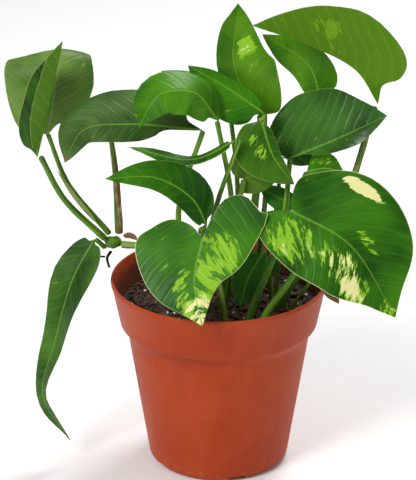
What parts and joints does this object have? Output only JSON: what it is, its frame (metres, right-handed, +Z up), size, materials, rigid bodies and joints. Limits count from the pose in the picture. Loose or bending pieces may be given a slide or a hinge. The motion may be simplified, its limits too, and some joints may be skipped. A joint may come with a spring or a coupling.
{
  "type": "potted plant",
  "caption": "Bushy trailing houseplant with heart-shaped variegated leaves on curving stalks, standing in a round tapered nursery pot with a rolled rim band.",
  "frame": {"origin": "centre of the pot's underside, on the surface the pot stands on", "axes": "+Z up along the pot's axis; the plant's full side, with the leaf that hangs over the rim, faces -Y; +X is to the right seen from there"},
  "size_m": [0.1978, 0.1243, 0.2435],
  "materials": {
    "terracotta": "satin",
    "mix": "matte",
    "leaf": "satin",
    "leaf_dark": "satin",
    "leaf_pale": "satin",
    "stalk": "satin",
    "vine": "satin",
    "husk": "matte",
    "root": "matte"
  },
  "bodies": {
    "root": {"leaf_a": "leaf_pale", "leaf_b": "leaf_pale", "leaf_c": "leaf_dark", "leaf_d": "leaf", "leaf_e": "leaf_dark", "leaf_f": "leaf", "leaf_g": "leaf", "leaf_h": "leaf", "leaf_j": "leaf_pale", "leaf_i": "leaf_pale", "leaf_t": "leaf_dark", "leaf_m": "leaf_dark", "leaf_k": "leaf", "leaf_n": "leaf", "leaf_l": "leaf_dark", "leaf_p": "leaf_pale", "leaf_q": "leaf", "leaf_r": "leaf_dark", "leaf_s": "leaf_dark", "leaf_v": "leaf_dark", "leaf_u": "leaf_dark", "leaf_w": "leaf_dark", "leaf_x": "husk", "stalk_a": "stalk", "stalk_b": "stalk", "stalk_u": "stalk", "stalk_l": "stalk", "stalk_c": "stalk", "stalk_d": "stalk", "stalk_e": "stalk", "stalk_f": "stalk", "stalk_g": "stalk", "stalk_h": "stalk", "stalk_j": "stalk", "stalk_i": "stalk", "stalk_t": "stalk", "stem_mid": "vine", "stalk_k": "stalk", "stalk_m": "stalk", "stalk_n": "stalk", "stalk_p": "stalk", "stalk_q": "stalk", "stalk_r": "stalk", "stalk_s": "stalk", "stalk_v": "stalk", "stalk_w": "stalk", "stalk_x": "stalk", "vine_left": "vine", "node_left": "vine", "node_mid": "vine", "sheath_a": "husk", "sheath_u": "husk", "sheath_p": "husk", "dry_scale": "husk", "aerial_root": "root", "rootlet": "root", "pot": "terracotta", "potting_mix": "mix"}
  },
  "joints": []
}
